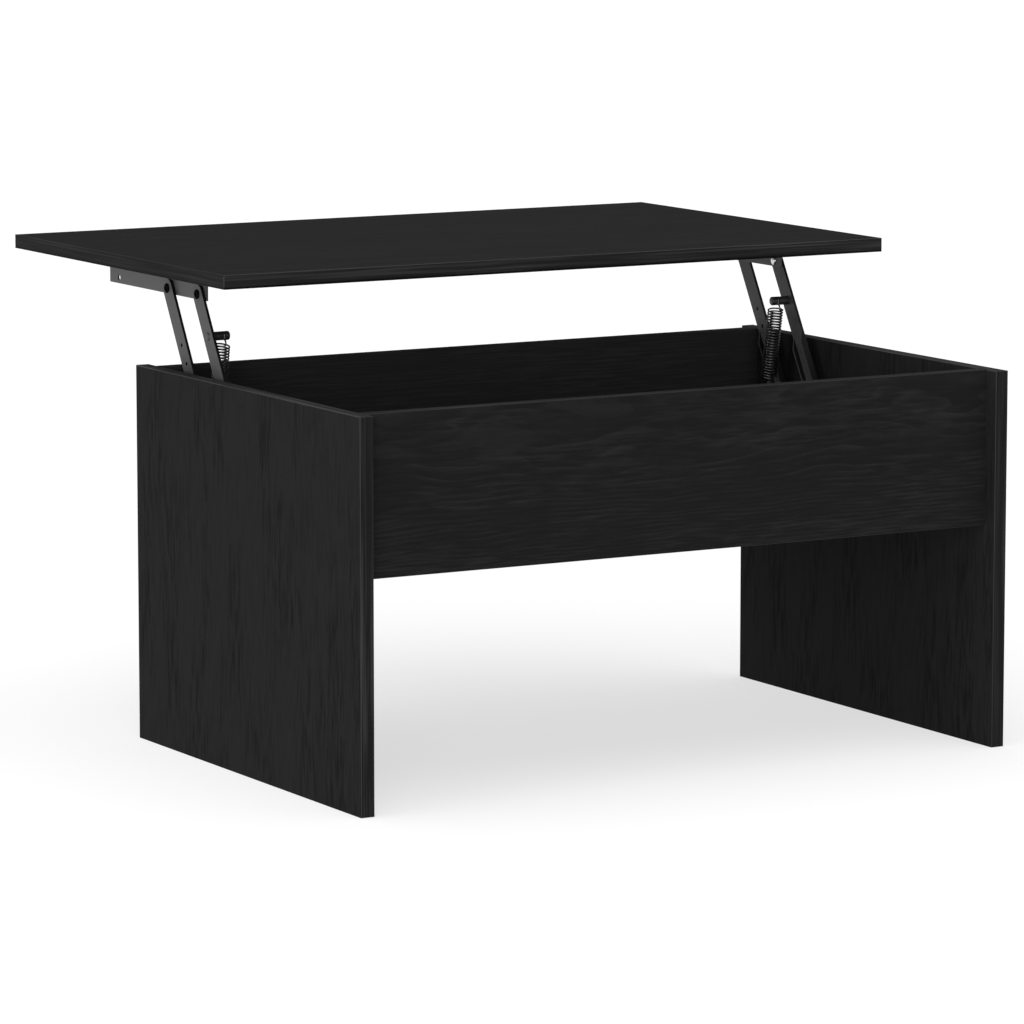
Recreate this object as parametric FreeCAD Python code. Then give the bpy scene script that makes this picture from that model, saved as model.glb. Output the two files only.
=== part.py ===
import FreeCAD, Part
import math
import os

# Lift top coffee table with its top raised: a storage box between two board sides, and a
# top on two spring assisted parallel arm mechanisms.  Millimetres, +X along the length,
# +Y away from the user's side, +Z up.  The pieces are drawn about the middle of the box
# and moved at export, so that the origin is under the middle of the raised table.

# Boards
BOARD = 15.0
BAND = 1.0
BOX_LENGTH = 770.0
BOX_DEPTH = 500.0
BOX_HEIGHT = 400.0
APRON_HEIGHT = 165.0
APRON_INSET = 18.0
TOP_LENGTH = 800.0
TOP_DEPTH = 505.0

# Arms: a parallelogram that swings forward and down when the top closes
ARM_LENGTH = 183.0
ARM_WIDTH = 20.0
ARM_THICK = 3.0
RAISED_ANGLE = 60.0
CLOSED_ANGLE = 161.8
CLOSED_GAP = 0.4
REAR_PIVOT_Y = 135.7
PIVOT_SPACING = 70.2
PIVOT_Z = 323.5
SHEET = 2.0
PIN_R = 3.0
PIN_PLAY = 0.05
SIDE_PLAY = 0.3
WASHER = 0.6

# Distances out from the table's middle plane, from the board inwards
PANEL_INNER = BOX_LENGTH / 2 - BOARD
ARM_OUTER = 358.5
ARM_INNER = ARM_OUTER - ARM_THICK
CHANNEL_WEB = ARM_OUTER + SIDE_PLAY + WASHER
RAIL_WEB = ARM_INNER - SIDE_PLAY - WASHER
SPRING_LINE = 341.2
POST_TIP = 334.0

# Springs
WIRE_R = 0.9
COIL_R = 8.8
POST_AT = 134.5
ANCHOR_Y = 153.5
ANCHOR_Z = 322.0
COIL_START = 8.5
COIL_END = 88.0

rest = math.radians(RAISED_ANGLE)
closed = math.radians(CLOSED_ANGLE)
TOP_SHIFT = ARM_LENGTH * (math.cos(rest) - math.cos(closed))
TOP_RISE = ARM_LENGTH * (math.sin(rest) - math.sin(closed))
UNDERSIDE = BOX_HEIGHT + CLOSED_GAP + TOP_RISE
FRONT_PIVOT_Y = REAR_PIVOT_Y - PIVOT_SPACING
MIDDLE_Y = (TOP_SHIFT + TOP_DEPTH / 2 - BOX_DEPTH / 2) / 2

Vector = FreeCAD.Vector
ALONG_ARM = Vector(0, math.cos(rest), math.sin(rest))
ACROSS_ARM = Vector(0, -math.sin(rest), math.cos(rest))


def block(x, y, z):
    """A box from its three (low, high) ranges."""
    return Part.makeBox(x[1] - x[0], y[1] - y[0], z[1] - z[0], Vector(x[0], y[0], z[0]))


def rod(start, end, radius):
    """A cylinder from one point to another."""
    return Part.makeCylinder(radius, (end - start).Length, start, end - start)


def pin(x, y, z, radius):
    """A cylinder along X over the (low, high) range x."""
    return rod(Vector(x[0], y, z), Vector(x[1], y, z), radius)


def joined(shapes):
    """Several touching or overlapping shapes as one solid."""
    return shapes[0].fuse(shapes[1:]).removeSplitter()


def save(name, shape):
    """Writes one sub-part, moved from the box's middle to the table's own origin."""
    moved = shape.copy()
    moved.translate(Vector(0, -MIDDLE_Y, 0))
    moved.exportStep("parts/" + name + ".step")


def save_pair(name, shape):
    """Writes a right-hand sub-part and its mirror image on the left."""
    save("right_" + name, shape)
    save("left_" + name, shape.mirror(Vector(0, 0, 0), Vector(1, 0, 0)))


# ---- Knock-down fittings -------------------------------------------------------------

CAM_R = 7.4
CAM_DEPTH = 12.0
CAM_BACK = 34.0
BOLT_THREAD_R = 2.5
BOLT_THREAD = 11.0
BOLT_SHAFT_R = 3.2
DOWEL_R = 4.0
DOWEL_IN_FACE = 10.0
DOWEL_IN_END = 20.0
PLAY = 0.08
APRON_CAM_Z = (BOX_HEIGHT - APRON_HEIGHT + 27, BOX_HEIGHT - 78)
APRON_DOWEL_Z = BOX_HEIGHT - 30
BOTTOM_CAM_Y = (-150.0, 150.0)
CAM_X = PANEL_INNER - CAM_BACK
apron_mid = BOX_DEPTH / 2 - APRON_INSET - BOARD / 2
apron_inner = apron_mid - BOARD / 2
bottom_z = BOX_HEIGHT - APRON_HEIGHT
bottom_mid = bottom_z + BOARD / 2

# (y, z) of each fitting's axis along X, the same at both ends of a board
front_bolts = [(-apron_mid, z) for z in APRON_CAM_Z]
back_bolts = [(apron_mid, z) for z in APRON_CAM_Z]
bottom_bolts = [(y, bottom_mid) for y in BOTTOM_CAM_Y]
dowels = [(-apron_mid, APRON_DOWEL_Z), (apron_mid, APRON_DOWEL_Z), (0.0, bottom_mid)]


def cam_bolt(y, z):
    """A bolt screwed into the side board, with a necked head inside the cam."""
    thread = pin((PANEL_INNER, PANEL_INNER + BOLT_THREAD), y, z, BOLT_THREAD_R)
    shaft = pin((CAM_X + 5, PANEL_INNER), y, z, BOLT_SHAFT_R)
    neck = pin((CAM_X + 1, CAM_X + 5), y, z, 2.0)
    head = pin((CAM_X - 2, CAM_X + 1), y, z, 3.0)
    return joined([thread, shaft, neck, head])


def cam_nut(y, z, face):
    """A slotted disc let into a board from its face, turned about the face's normal."""
    bolt_mid = Vector(CAM_X, y, z)
    outer = bolt_mid + face * (BOARD / 2)
    disc = rod(outer - face * CAM_DEPTH, outer, CAM_R)
    pocket = pin((CAM_X - 3, CAM_X + CAM_R + 1), y, z, 4.0)
    turned = face.cross(Vector(1, 0, 0))
    slots = []
    for along, across in ((Vector(1, 0, 0), turned), (turned, Vector(1, 0, 0))):
        corner = outer - along * 4.5 - across * 0.7 - face * 1.6
        edges = [corner, corner + along * 9, corner + along * 9 + across * 1.4]
        outline = Part.makePolygon(edges + [corner + across * 1.4, corner])
        slots.append(Part.Face(outline).extrude(face * 2))
    return disc.cut([pocket] + slots)


def cam_hole(y, z, face):
    """The round hole in a board that takes a cam nut."""
    outer = Vector(CAM_X, y, z) + face * (BOARD / 2 + 1)
    return rod(outer - face * (CAM_DEPTH + 1 + PLAY), outer, CAM_R + PLAY)


def both_ends(shapes):
    """The shapes and their mirror images at the other end of the table."""
    return shapes + [s.mirror(Vector(0, 0, 0), Vector(1, 0, 0)) for s in shapes]


def end_holes(bolts, dowel, face):
    """All that is cut from a cross board for its fittings at both ends."""
    holes = [pin((CAM_X, PANEL_INNER + 1), y, z, BOLT_SHAFT_R + PLAY) for y, z in bolts]
    holes += [cam_hole(y, z, face) for y, z in bolts]
    low = PANEL_INNER - DOWEL_IN_END - PLAY
    holes.append(pin((low, PANEL_INNER + 1), dowel[0], dowel[1], DOWEL_R + PLAY))
    return both_ends(holes)


# ---- Box -----------------------------------------------------------------------------

CHANNEL_Y = (31.0, 179.0)
CHANNEL_Z = (302.0, 345.0)
TAB = 15.0
TAB_Z = (307.0, 337.0)
SCREW_R = 1.7
SCREW_LENGTH = 11.0
HEAD_R = 3.6
HEAD_THICK = 2.0
tab_centres = (CHANNEL_Y[0] - TAB / 2, CHANNEL_Y[1] + TAB / 2)
channel_screws = [(y, z) for y in tab_centres for z in (313.0, 331.0)]


def side_panel():
    """One full depth side that stands on the floor, drilled for all that is fixed to it."""
    depth = BOX_DEPTH / 2 - BAND
    board = block((PANEL_INNER, PANEL_INNER + BOARD), (-depth, depth), (0, BOX_HEIGHT - BAND))
    inside = PANEL_INNER - 1
    bolt_end = PANEL_INNER + BOLT_THREAD + PLAY
    dowel_end = PANEL_INNER + DOWEL_IN_FACE + PLAY
    screw_end = PANEL_INNER - SHEET + SCREW_LENGTH + PLAY
    holes = [pin((inside, bolt_end), y, z, BOLT_THREAD_R + PLAY)
             for y, z in front_bolts + back_bolts + bottom_bolts]
    holes += [pin((inside, dowel_end), y, z, DOWEL_R + PLAY) for y, z in dowels]
    holes += [pin((inside, screw_end), y, z, SCREW_R + PLAY) for y, z in channel_screws]
    return board.cut(holes)


def make_sides():
    x = (PANEL_INNER, PANEL_INNER + BOARD)
    depth = BOX_DEPTH / 2
    save_pair("side_panel", side_panel())
    save_pair("side_front_edge_band", block(x, (-depth, -depth + BAND), (0, BOX_HEIGHT)))
    save_pair("side_back_edge_band", block(x, (depth - BAND, depth), (0, BOX_HEIGHT)))
    top = (BOX_HEIGHT - BAND, BOX_HEIGHT)
    save_pair("side_top_edge_band", block(x, (-depth + BAND, depth - BAND), top))


def make_apron(name, sign, bolts, dowel):
    """A front or back board between the sides, with a band on its two long edges."""
    x = (-PANEL_INNER, PANEL_INNER)
    y = sorted((sign * apron_inner, sign * (apron_inner + BOARD)))
    board = block(x, y, (bottom_z + BAND, BOX_HEIGHT - BAND))
    inward = Vector(0, -sign, 0)
    save(name, board.cut(end_holes(bolts, dowel, inward)))
    save(name + "_top_edge_band", block(x, y, (BOX_HEIGHT - BAND, BOX_HEIGHT)))
    save(name + "_bottom_edge_band", block(x, y, (bottom_z, bottom_z + BAND)))
    nuts = both_ends([cam_nut(bolt_y, z, inward) for bolt_y, z in bolts])
    save(name + "_cam_nuts", Part.makeCompound(nuts))


def make_bottom():
    board = block((-PANEL_INNER, PANEL_INNER), (-apron_inner, apron_inner),
                  (bottom_z, bottom_z + BOARD))
    down = Vector(0, 0, -1)
    save("bottom_panel", board.cut(end_holes(bottom_bolts, dowels[2], down)))
    nuts = both_ends([cam_nut(y, z, down) for y, z in bottom_bolts])
    save("bottom_cam_nuts", Part.makeCompound(nuts))


def make_board_fittings():
    bolts = [cam_bolt(y, z) for y, z in front_bolts + back_bolts + bottom_bolts]
    save_pair("cam_bolts", Part.makeCompound(bolts))
    x = (PANEL_INNER - DOWEL_IN_END, PANEL_INNER + DOWEL_IN_FACE)
    save_pair("dowels", Part.makeCompound([pin(x, y, z, DOWEL_R) for y, z in dowels]))


# ---- Lift mechanism, right-hand side -------------------------------------------------

RIVET_HEAD_R = 5.5
RIVET_HEAD = 2.0
STOP_R = 4.0
STOP_ALONG = 25.0
POST_R = 4.6
GROOVE_R = 3.0
GROOVE_HALF = 1.5
HOLE_R = 2.0
REAR_ARM_HOLES = (95.5, 117.0)
FLANGE_THICK = 2.0
FLANGE_DEPTH = 5.0
FLANGE_RUN = ((14.0, 0.0), (19.0, 1.0), (79.0, 1.0), (92.0, 0.0))
RAIL_HEIGHT = 26.0
RAIL_Y = (143.0, 373.5)
RAIL_FOOT = 21.0
RAIL_HOLE = (351.4, 482.0, 3.2)
RAIL_SCREWS_Y = (166.0, 258.0, 350.0)
RAIL_SCREW_X = RAIL_WEB - SHEET - 10.0

rear_foot = Vector(0, REAR_PIVOT_Y, PIVOT_Z)
front_foot = Vector(0, FRONT_PIVOT_Y, PIVOT_Z)
post = front_foot + ALONG_ARM * POST_AT
anchor = Vector(0, ANCHOR_Y, ANCHOR_Z)
stop = rear_foot + ALONG_ARM * STOP_ALONG - ACROSS_ARM * (ARM_WIDTH / 2 + SIDE_PLAY + STOP_R)


def arm(foot, extra_holes):
    """A flat bar with round ends, its lower half stiffened by two turned-in edges."""
    tip = foot + ALONG_ARM * ARM_LENGTH
    x = (ARM_INNER, ARM_OUTER)
    half = ACROSS_ARM * (ARM_WIDTH / 2)
    inner = Vector(ARM_INNER, 0, 0)
    outline = [foot - half, tip - half, tip + half, foot + half, foot - half]
    bar = Part.Face(Part.makePolygon([inner + p for p in outline]))
    solids = [bar.extrude(Vector(ARM_THICK, 0, 0))]
    solids += [pin(x, end.y, end.z, ARM_WIDTH / 2) for end in (foot, tip)]
    for low in (-ARM_WIDTH / 2, ARM_WIDTH / 2 - FLANGE_THICK):
        base = foot + inner + ACROSS_ARM * low
        depth = Vector(-FLANGE_DEPTH, 0, 0)
        edge = [base + ALONG_ARM * at + depth * share for at, share in FLANGE_RUN]
        lip = Part.Face(Part.makePolygon(edge + [edge[0]]))
        solids.append(lip.extrude(ACROSS_ARM * FLANGE_THICK))
    through = (ARM_INNER - 1, ARM_OUTER + 1)
    holes = [pin(through, end.y, end.z, PIN_R + PIN_PLAY) for end in (foot, tip)]
    for at in extra_holes:
        spot = foot + ALONG_ARM * at
        holes.append(pin(through, spot.y, spot.z, extra_holes[at]))
    return joined(solids).cut(holes)


def pivot(at, low, high):
    """A rivet that an arm turns on, with a domed head on the inner side and a flat tail."""
    shank = pin((low, high), at.y, at.z, PIN_R)
    dome_r = (RIVET_HEAD_R ** 2 + RIVET_HEAD ** 2) / (2 * RIVET_HEAD)
    ball = Part.makeSphere(dome_r, Vector(low - RIVET_HEAD + dome_r, at.y, at.z))
    dome = ball.common(pin((low - RIVET_HEAD, low), at.y, at.z, RIVET_HEAD_R))
    tail = pin((high, high + RIVET_HEAD - SIDE_PLAY), at.y, at.z, RIVET_HEAD_R - 0.5)
    return joined([shank, dome, tail])


def washer(at, low):
    ring = pin((low, low + WASHER), at.y, at.z, RIVET_HEAD_R + 1.5)
    return ring.cut(pin((low - 1, low + WASHER + 1), at.y, at.z, PIN_R + PIN_PLAY))


def hook_post(at, seat, tail_from):
    """A grooved stud that a spring hooks on: tip, groove, body, collar, shank and tail."""
    groove = (SPRING_LINE - GROOVE_HALF, SPRING_LINE + GROOVE_HALF)
    return joined([pin((POST_TIP, groove[0]), at.y, at.z, POST_R),
                   pin(groove, at.y, at.z, GROOVE_R),
                   pin((groove[1], seat), at.y, at.z, POST_R),
                   pin((seat - 1.5, seat), at.y, at.z, POST_R + 0.6),
                   pin((seat, tail_from), at.y, at.z, PIN_R),
                   pin((tail_from, tail_from + 1), at.y, at.z, POST_R)])


def base_channel():
    """A pressed tray, open towards the side board, with a screwed tab at each end."""
    web = (CHANNEL_WEB, CHANNEL_WEB + SHEET)
    tray = block((CHANNEL_WEB, PANEL_INNER), CHANNEL_Y, CHANNEL_Z)
    hollow = block((web[1], PANEL_INNER + 1),
                   (CHANNEL_Y[0] + SHEET, CHANNEL_Y[1] - SHEET),
                   (CHANNEL_Z[0] + SHEET, CHANNEL_Z[1] - SHEET))
    x = (PANEL_INNER - SHEET, PANEL_INNER)
    tabs = [block(x, (CHANNEL_Y[0] - TAB, CHANNEL_Y[0] + 1), TAB_Z),
            block(x, (CHANNEL_Y[1] - 1, CHANNEL_Y[1] + TAB), TAB_Z)]
    through = (web[0] - 1, web[1] + 1)
    holes = [pin(through, at.y, at.z, PIN_R + PIN_PLAY)
             for at in (rear_foot, front_foot, stop, anchor)]
    holes += [pin((x[0] - 1, x[1] + 1), y, z, SCREW_R + PLAY) for y, z in channel_screws]
    return joined([tray] + tabs).cut([hollow] + holes)


def screw(tip, up):
    """A pan head wood screw that points along the unit vector up, its head below tip."""
    seat = tip - up * SCREW_LENGTH
    return joined([rod(seat, tip, SCREW_R), rod(seat - up * HEAD_THICK, seat, HEAD_R)])


def make_base():
    save_pair("base_channel", base_channel())
    outward = Vector(1, 0, 0)
    tip_x = PANEL_INNER - SHEET + SCREW_LENGTH
    screws = [screw(Vector(tip_x, y, z), outward) for y, z in channel_screws]
    save_pair("channel_screws", Part.makeCompound(screws))
    low, high = ARM_INNER - SIDE_PLAY, CHANNEL_WEB + SHEET
    save_pair("rear_lower_pivot", pivot(rear_foot, low, high))
    save_pair("front_lower_pivot", pivot(front_foot, low, high))
    stud = joined([pin((ARM_INNER, CHANNEL_WEB), stop.y, stop.z, STOP_R),
                   pin((CHANNEL_WEB, high), stop.y, stop.z, PIN_R),
                   pin((high, high + 1), stop.y, stop.z, STOP_R)])
    save_pair("stop_stud", stud)
    save_pair("spring_anchor", hook_post(anchor, CHANNEL_WEB, high))
    return [washer(at, ARM_OUTER + SIDE_PLAY) for at in (rear_foot, front_foot)]


def make_arms():
    save_pair("rear_arm", arm(rear_foot, {at: HOLE_R for at in REAR_ARM_HOLES}))
    save_pair("front_arm", arm(front_foot, {POST_AT: PIN_R + PIN_PLAY}))
    save_pair("spring_post", hook_post(post, ARM_INNER, ARM_OUTER))


def make_springs():
    """Plain stand-ins of the coil's outer shape, with a hook at each end."""
    top = Vector(SPRING_LINE, post.y, post.z)
    low = Vector(SPRING_LINE, anchor.y, anchor.z)
    down = (low - top).normalize()
    start, end = top + down * COIL_START, top + down * COIL_END
    loop_r = GROOVE_R + PIN_PLAY + WIRE_R
    coil = rod(start, end, COIL_R).cut(rod(start - down, end + down, COIL_R - 2 * WIRE_R))

    def hook(eye, cap_at):
        """An eye round the post, and a straight shank to the coil's last, closing turn."""
        along = (cap_at - eye).normalize()
        loop = Part.makeTorus(loop_r, WIRE_R, eye, Vector(1, 0, 0))
        shank = rod(eye + along * loop_r, cap_at + along * WIRE_R, WIRE_R)
        last_turn = rod(cap_at, cap_at + along * 2 * WIRE_R, COIL_R - WIRE_R)
        return [loop, shank, last_turn]

    save_pair("spring_coil", joined([coil] + hook(top, start + down * SIDE_PLAY)))
    below = end + down * (SIDE_PLAY + 2 * WIRE_R)
    save_pair("spring_tail", joined(hook(low, below)))


# ---- Top -----------------------------------------------------------------------------


def top_rail():
    """An angle under the top: the web hangs inside the arms, the foot turns inwards."""
    low = UNDERSIDE - RAIL_HEIGHT
    web = block((RAIL_WEB - SHEET, RAIL_WEB), RAIL_Y, (low, UNDERSIDE))
    foot = block((RAIL_WEB - RAIL_FOOT, RAIL_WEB), RAIL_Y, (UNDERSIDE - SHEET, UNDERSIDE))
    through = (RAIL_WEB - SHEET - 1, RAIL_WEB + 1)
    tips = [start + ALONG_ARM * ARM_LENGTH for start in (rear_foot, front_foot)]
    holes = [pin(through, tip.y, tip.z, PIN_R + PIN_PLAY) for tip in tips]
    holes.append(pin(through, RAIL_HOLE[0], RAIL_HOLE[1], RAIL_HOLE[2]))
    holes += [rod(Vector(RAIL_SCREW_X, y, UNDERSIDE - SHEET - 1),
                  Vector(RAIL_SCREW_X, y, UNDERSIDE + 1), SCREW_R + PLAY)
              for y in RAIL_SCREWS_Y]
    return joined([web, foot]).cut(holes)


def make_tabletop():
    x = TOP_LENGTH / 2
    y0, y1 = TOP_SHIFT - TOP_DEPTH / 2, TOP_SHIFT + TOP_DEPTH / 2
    z = (UNDERSIDE, UNDERSIDE + BOARD)
    board = block((-x + BAND, x - BAND), (y0 + BAND, y1 - BAND), z)
    screw_top = UNDERSIDE - SHEET + SCREW_LENGTH + PLAY
    holes = [rod(Vector(RAIL_SCREW_X, y, UNDERSIDE - 1), Vector(RAIL_SCREW_X, y, screw_top),
                 SCREW_R + PLAY) for y in RAIL_SCREWS_Y]
    save("tabletop", board.cut(both_ends(holes)))
    save("tabletop_front_edge_band", block((-x, x), (y0, y0 + BAND), z))
    save("tabletop_back_edge_band", block((-x, x), (y1 - BAND, y1), z))
    end = block((x - BAND, x), (y0 + BAND, y1 - BAND), z)
    save("tabletop_right_edge_band", end)
    save("tabletop_left_edge_band", end.mirror(Vector(0, 0, 0), Vector(1, 0, 0)))


def make_rails():
    save_pair("top_rail", top_rail())
    up = Vector(0, 0, 1)
    tip_z = UNDERSIDE - SHEET + SCREW_LENGTH
    screws = [screw(Vector(RAIL_SCREW_X, y, tip_z), up) for y in RAIL_SCREWS_Y]
    save_pair("rail_screws", Part.makeCompound(screws))
    low, high = RAIL_WEB - SHEET, ARM_OUTER + SIDE_PLAY
    tips = [start + ALONG_ARM * ARM_LENGTH for start in (rear_foot, front_foot)]
    save_pair("rear_upper_pivot", pivot(tips[0], low, high))
    save_pair("front_upper_pivot", pivot(tips[1], low, high))
    return [washer(tip, RAIL_WEB) for tip in tips]


os.makedirs("parts", exist_ok=True)
make_sides()
make_apron("front_panel", -1, front_bolts, dowels[0])
make_apron("back_panel", 1, back_bolts, dowels[1])
make_bottom()
make_board_fittings()
lower_washers = make_base()
make_arms()
make_springs()
make_tabletop()
upper_washers = make_rails()
save("lower_washers", Part.makeCompound(both_ends(lower_washers)))
save("upper_washers", Part.makeCompound(both_ends(upper_washers)))

spring = anchor - post
print("rise", TOP_RISE, "shift", TOP_SHIFT, "middle y", MIDDLE_Y, "underside", UNDERSIDE)
print("pivots", rear_foot, front_foot, "post", post, "spring length", spring.Length)
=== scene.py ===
"""A lift top coffee table in black oak decor, its top raised on two spring assisted arm mechanisms."""
import math

import bmesh
import bpy
from mathutils import Matrix, Vector


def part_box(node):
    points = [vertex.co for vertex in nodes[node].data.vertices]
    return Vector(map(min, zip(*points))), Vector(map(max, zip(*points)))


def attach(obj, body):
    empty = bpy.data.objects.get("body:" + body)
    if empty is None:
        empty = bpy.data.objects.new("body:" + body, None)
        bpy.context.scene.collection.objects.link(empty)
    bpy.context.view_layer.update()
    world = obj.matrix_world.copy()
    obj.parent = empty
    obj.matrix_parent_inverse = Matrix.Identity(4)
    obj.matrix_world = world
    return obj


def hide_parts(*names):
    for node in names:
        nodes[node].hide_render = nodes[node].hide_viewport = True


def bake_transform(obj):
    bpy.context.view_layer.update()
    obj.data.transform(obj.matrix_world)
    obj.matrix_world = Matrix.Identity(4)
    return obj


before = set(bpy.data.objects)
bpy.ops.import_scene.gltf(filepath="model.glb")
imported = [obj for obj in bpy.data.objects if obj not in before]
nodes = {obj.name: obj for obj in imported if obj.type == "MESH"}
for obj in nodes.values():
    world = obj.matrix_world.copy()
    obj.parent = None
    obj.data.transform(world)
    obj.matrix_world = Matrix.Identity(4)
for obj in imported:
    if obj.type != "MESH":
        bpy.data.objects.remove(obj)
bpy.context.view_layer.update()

MM = 0.001
SIDES = (("left", -1), ("right", 1))


# ---- Camera --------------------------------------------------------------------------
# A long lens stands far back at the user's left, a little above the raised top, so the
# boards' parallel edges hardly converge.

CAMERA_PLACE = (-2.9236, -5.1159, 1.0909)
CAMERA_TILT = 8.316
CAMERA_HEADING = -29.80
CAMERA_LENS = 194.47
SENSOR_WIDTH = 36.0
FARTHEST = 200.0

camera = bpy.data.objects.new("camera", bpy.data.cameras.new("camera"))
camera.data.sensor_width = SENSOR_WIDTH
camera.data.lens = CAMERA_LENS
camera.data.clip_end = FARTHEST
camera.location = CAMERA_PLACE
camera.rotation_euler = (math.radians(90 - CAMERA_TILT), 0, math.radians(CAMERA_HEADING))
bpy.context.scene.collection.objects.link(camera)
bpy.context.scene.camera = camera


# ---- Floor and studio light ----------------------------------------------------------
# A pale matt floor, lit a little from within like a light table, runs far past the table on
# every side.  An even surround and four far lamps light it without hard shadows.

WHITE = (1, 1, 1, 1)
FLOOR_HALF = 60.0
FLOOR_CELLS = 6
FLOOR_DROP = 0.2 * MM
FLOOR_COLOUR = (0.36, 0.36, 0.36, 1)
FLOOR_ROUGHNESS = 0.9
FLOOR_GLOW = 0.64
SURROUND = 0.33
# Each lamp's name, power, spread in degrees and direction.
LAMPS = (("overhead_lamp", 2.0, 80.0, (0.1, 0.05, -1)),
         ("left_lamp", 0.62, 50.0, (1, -0.1, -0.2)),
         ("low_lamp", 1.0, 14.0, (1, 0.05, -0.08)),
         ("front_lamp", 1.4, 30.0, (0.49, 0.85, -0.21)))


def add(tree, kind, **settings):
    """One node in a material or a group, with its settings."""
    made = tree.nodes.new(kind)
    for name, value in settings.items():
        setattr(made, name, value)
    return made


def feed(tree, socket, value):
    """Links another node's output to a socket, or writes a plain value on it."""
    if isinstance(value, bpy.types.NodeSocket):
        tree.links.new(value, socket)
    else:
        socket.default_value = value


def new_material(name, **plain):
    """A material with one Principled shader, and plain values on the shader's sockets."""
    material = bpy.data.materials.new(name)
    material.use_nodes = True
    tree = material.node_tree
    shader = tree.nodes["Principled BSDF"]
    for socket, value in plain.items():
        shader.inputs[socket.replace("_", " ")].default_value = value
    return material, tree, shader


def lamp(name, power, spread, toward):
    """A far, broad lamp that shines along a direction."""
    light = bpy.data.lights.new(name, "SUN")
    light.energy = power
    light.angle = math.radians(spread)
    made = bpy.data.objects.new(name, light)
    made.rotation_euler = Vector(toward).to_track_quat("-Z", "Y").to_euler()
    bpy.context.scene.collection.objects.link(made)


floor_shape = bmesh.new()
bmesh.ops.create_grid(floor_shape, x_segments=FLOOR_CELLS, y_segments=FLOOR_CELLS, size=FLOOR_HALF)
bmesh.ops.translate(floor_shape, verts=floor_shape.verts, vec=(0, 0, -FLOOR_DROP))
floor_mesh = bpy.data.meshes.new("floor")
floor_shape.to_mesh(floor_mesh)
floor_shape.free()
floor = bpy.data.objects.new("floor", floor_mesh)
bpy.context.scene.collection.objects.link(floor)
floor_paint = new_material(
    "floor_paint", Base_Color=FLOOR_COLOUR, Roughness=FLOOR_ROUGHNESS, Specular_IOR_Level=0.0,
    Emission_Color=WHITE, Emission_Strength=FLOOR_GLOW)[0]
floor_mesh.materials.append(floor_paint)

world = bpy.data.worlds.new("studio")
world.use_nodes = True
surround = world.node_tree.nodes["Background"]
surround.inputs["Color"].default_value = WHITE
surround.inputs["Strength"].default_value = SURROUND
bpy.context.scene.world = world
bpy.context.scene.view_settings.view_transform = "Standard"
for lamp_name, lamp_power, lamp_spread, lamp_toward in LAMPS:
    lamp(lamp_name, lamp_power, lamp_spread, lamp_toward)


# ---- Side boards ---------------------------------------------------------------------
# Two 15 mm chipboard sides stand on the floor.  They are covered in a printed black oak
# paper with an embossed grain of short dark dashes that runs from top to bottom.

# Each noise: features a metre along the grain, features a metre across it, and detail.
WANDER_NOISE = (3.2, 17.0, 1.0)
RIPPLE_NOISE = (14.0, 90.0, 1.5)
GAP_NOISE = (10.0, 75.0, 1.0)
PATCH_NOISE = (7.0, 40.0, 1.5)
FIBRE_NOISE = (18.0, 300.0, 2.0)
BUNDLE_NOISE = (3.0, 36.0, 1.0)
PORE_NOISE = (70.0, 1500.0, 1.0)
# Each step: the values between which a feature goes from absent to full.
RING_STEP = (0.0, 0.14)
GAP_STEP = (0.4, 0.58)
PATCH_STEP = (0.56, 0.64)
FLAT_CUT_STEP = (1.5, 5.5)
FIBRE_STEP = (0.38, 0.7)
BUNDLE_STEP = (0.4, 0.62)
PORE_STEP = (0.58, 0.68)
RING_CROWDING = 830.0
RING_RIPPLE = 0.9
RING_FADE = 3.2
LINE_IN_GAP = 0.25
FIBRE_OFF_BUNDLE = 0.3
PATCH_STRENGTH = 0.45
PAPER_GLOSS = 0.012
PAPER_ROUGHNESS = 0.75
FIGURE_SMOOTHER = -0.12
EMBOSS_STRENGTH = 0.3
EMBOSS_DEPTH = 0.15 * MM
PORE_SINKS = -0.8
STREAK_RISES = 0.4
# Where a colour mix takes its two colours and gives its result.
FIRST_COLOUR, SECOND_COLOUR, MIXED_COLOUR = 6, 7, 2


def grey(value):
    """A neutral colour."""
    return (value, value, value, 1)


def maths(tree, operation, *values):
    """One step of arithmetic between numbers and other nodes' outputs."""
    made = add(tree, "ShaderNodeMath", operation=operation)
    for socket, value in zip(made.inputs, values):
        feed(tree, socket, value)
    return made.outputs[0]


def stretched_noise(tree, along, across, shift, kind):
    """Noise drawn out along the grain, of one of the kinds above."""
    per_along, per_across, detail = kind
    place = add(tree, "ShaderNodeCombineXYZ")
    feed(tree, place.inputs[0], maths(tree, "MULTIPLY", along, per_along))
    feed(tree, place.inputs[1], maths(tree, "MULTIPLY", across, per_across))
    feed(tree, place.inputs[2], shift)
    noise = add(tree, "ShaderNodeTexNoise")
    noise.inputs["Scale"].default_value = 1.0
    noise.inputs["Detail"].default_value = detail
    feed(tree, noise.inputs["Vector"], place.outputs[0])
    return noise.outputs[0]


def between(tree, value, low, high):
    """Rises smoothly from 0 to 1 as a value goes from low to high."""
    made = add(tree, "ShaderNodeMapRange", interpolation_type="SMOOTHSTEP")
    feed(tree, made.inputs[0], value)
    made.inputs[1].default_value = low
    made.inputs[2].default_value = high
    return made.outputs[0]


def mix(tree, share, first, second):
    """A colour that goes from the first to the second as the share rises to 1."""
    made = add(tree, "ShaderNodeMix", data_type="RGBA")
    feed(tree, made.inputs["Factor"], share)
    feed(tree, made.inputs[FIRST_COLOUR], first)
    feed(tree, made.inputs[SECOND_COLOUR], second)
    return made.outputs[MIXED_COLOUR]


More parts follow.
